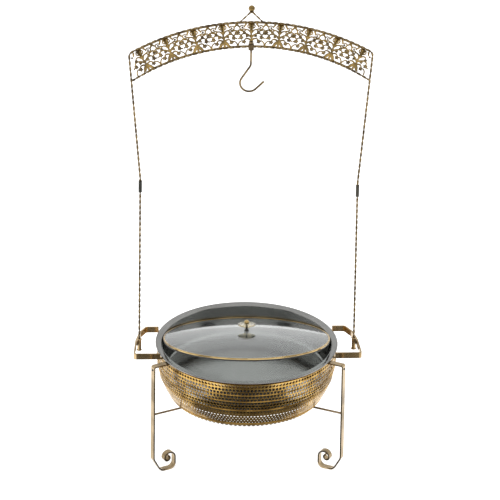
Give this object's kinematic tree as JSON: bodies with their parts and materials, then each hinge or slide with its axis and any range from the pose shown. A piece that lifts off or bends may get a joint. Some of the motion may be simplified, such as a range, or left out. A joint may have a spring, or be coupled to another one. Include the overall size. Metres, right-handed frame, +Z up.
{
  "type": "hanging chafing dish food warmer",
  "caption": "Round buffet food warmer: steel insert pan over a water pan in a gold wire stand with lace basket, glass lid, strip handles and a tall arched hanger with a swivel hook.",
  "frame": {"origin": "on the floor below the axis of the round pans, midway between the outer faces of the hanger and of the flange", "axes": "+Z up; -Y to the front, between the two front legs; +X to the right-hand handle"},
  "size_m": [0.4763, 0.362, 0.9658],
  "materials": {
    "gold_strip": "bright gold plate",
    "rose_gold": "bright rose-gold plate",
    "twist_gold": "dark antique gold plate on twisted wire",
    "dark_sleeve": "dark bronze",
    "basket_gold": "gold plate on pierced sheet",
    "filigree_gold": "gold plate on pierced sheet",
    "pan_steel": "mirror-polished stainless steel",
    "lid_glass": "clear tempered glass",
    "rim_gold": "gold plate",
    "knob_clear": "clear knob with a warm tint",
    "black_steel": "black",
    "plain_steel": "plain steel"
  },
  "bodies": {
    "stand": {"ring_band": "gold_strip", "leg_front_left": "rose_gold", "leg_front_right": "rose_gold", "leg_back": "rose_gold", "leg_rivets": "dark_sleeve", "brace_front_left": "rose_gold", "brace_front_right": "rose_gold", "brace_back": "rose_gold", "burner_ring": "rose_gold", "basket_top_hoop": "basket_gold", "basket_shell": "basket_gold", "basket_foot_hoop": "basket_gold", "handle_left": "gold_strip", "handle_right": "gold_strip", "socket_left": "gold_strip", "socket_right": "gold_strip", "socket_lugs": "gold_strip"},
    "water_pan": {"water_pan": "pan_steel"},
    "food_pan": {"food_pan": "pan_steel"},
    "lid": {"lid_glass": "lid_glass", "lid_rim": "rim_gold", "knob_stem": "black_steel", "stem_nut": "plain_steel"},
    "knob": {"lid_knob": "knob_clear", "knob_cap": "rim_gold"},
    "lower_rods": {"lower_rod_left": "twist_gold", "lower_rod_right": "twist_gold", "sleeve_left": "dark_sleeve", "sleeve_right": "dark_sleeve"},
    "bow": {"rod_stubs": "twist_gold", "upper_rod_left": "twist_gold", "upper_rod_right": "twist_gold", "top_arch_wire": "twist_gold", "lower_arch_wire": "twist_gold", "filigree_band": "filigree_gold", "peak_wire": "twist_gold", "finial": "filigree_gold", "hook_boss": "twist_gold"},
    "hook": {"hook": "twist_gold", "hook_stem": "twist_gold", "hook_nut": "twist_gold"},
    "fuel_cup": {"burner_cup": "plain_steel", "burner_screen": "plain_steel", "damper_rivet": "gold_strip"},
    "damper": {"damper_lid": "plain_steel"}
  },
  "joints": [
    {"name": "water_pan_lift", "type": "slide", "parent": "stand", "child": "water_pan", "axis": [0, 0, 1], "range_m": [0, 0.09]},
    {"name": "food_pan_lift", "type": "slide", "parent": "water_pan", "child": "food_pan", "axis": [0, 0, 1], "range_m": [0, 0.08]},
    {"name": "lid_lift", "type": "slide", "parent": "food_pan", "child": "lid", "axis": [0, 0, 1], "range_m": [0, 0.12]},
    {"name": "knob_turn", "type": "hinge", "parent": "lid", "child": "knob", "pos_m": [0, 0.00465, 0.2645], "axis": [0, 0.2113, 0.9774], "continuous": true},
    {"name": "lower_rods_lift", "type": "slide", "parent": "stand", "child": "lower_rods", "axis": [0, 0, 1], "range_m": [0, 0.03]},
    {"name": "bow_lift", "type": "slide", "parent": "lower_rods", "child": "bow", "axis": [0, 0, 1], "range_m": [0, 0.018]},
    {"name": "hook_swivel", "type": "hinge", "parent": "bow", "child": "hook", "pos_m": [0, 0, 0.873], "axis": [0, 0, 1], "continuous": true},
    {"name": "fuel_cup_lift", "type": "slide", "parent": "stand", "child": "fuel_cup", "axis": [0, 0, 1], "range_m": [0, 0.012]},
    {"name": "damper_swing", "type": "hinge", "parent": "fuel_cup", "child": "damper", "pos_m": [0.043, 0, 0.134], "axis": [0, 0, 1], "range_deg": [0, 110]}
  ]
}
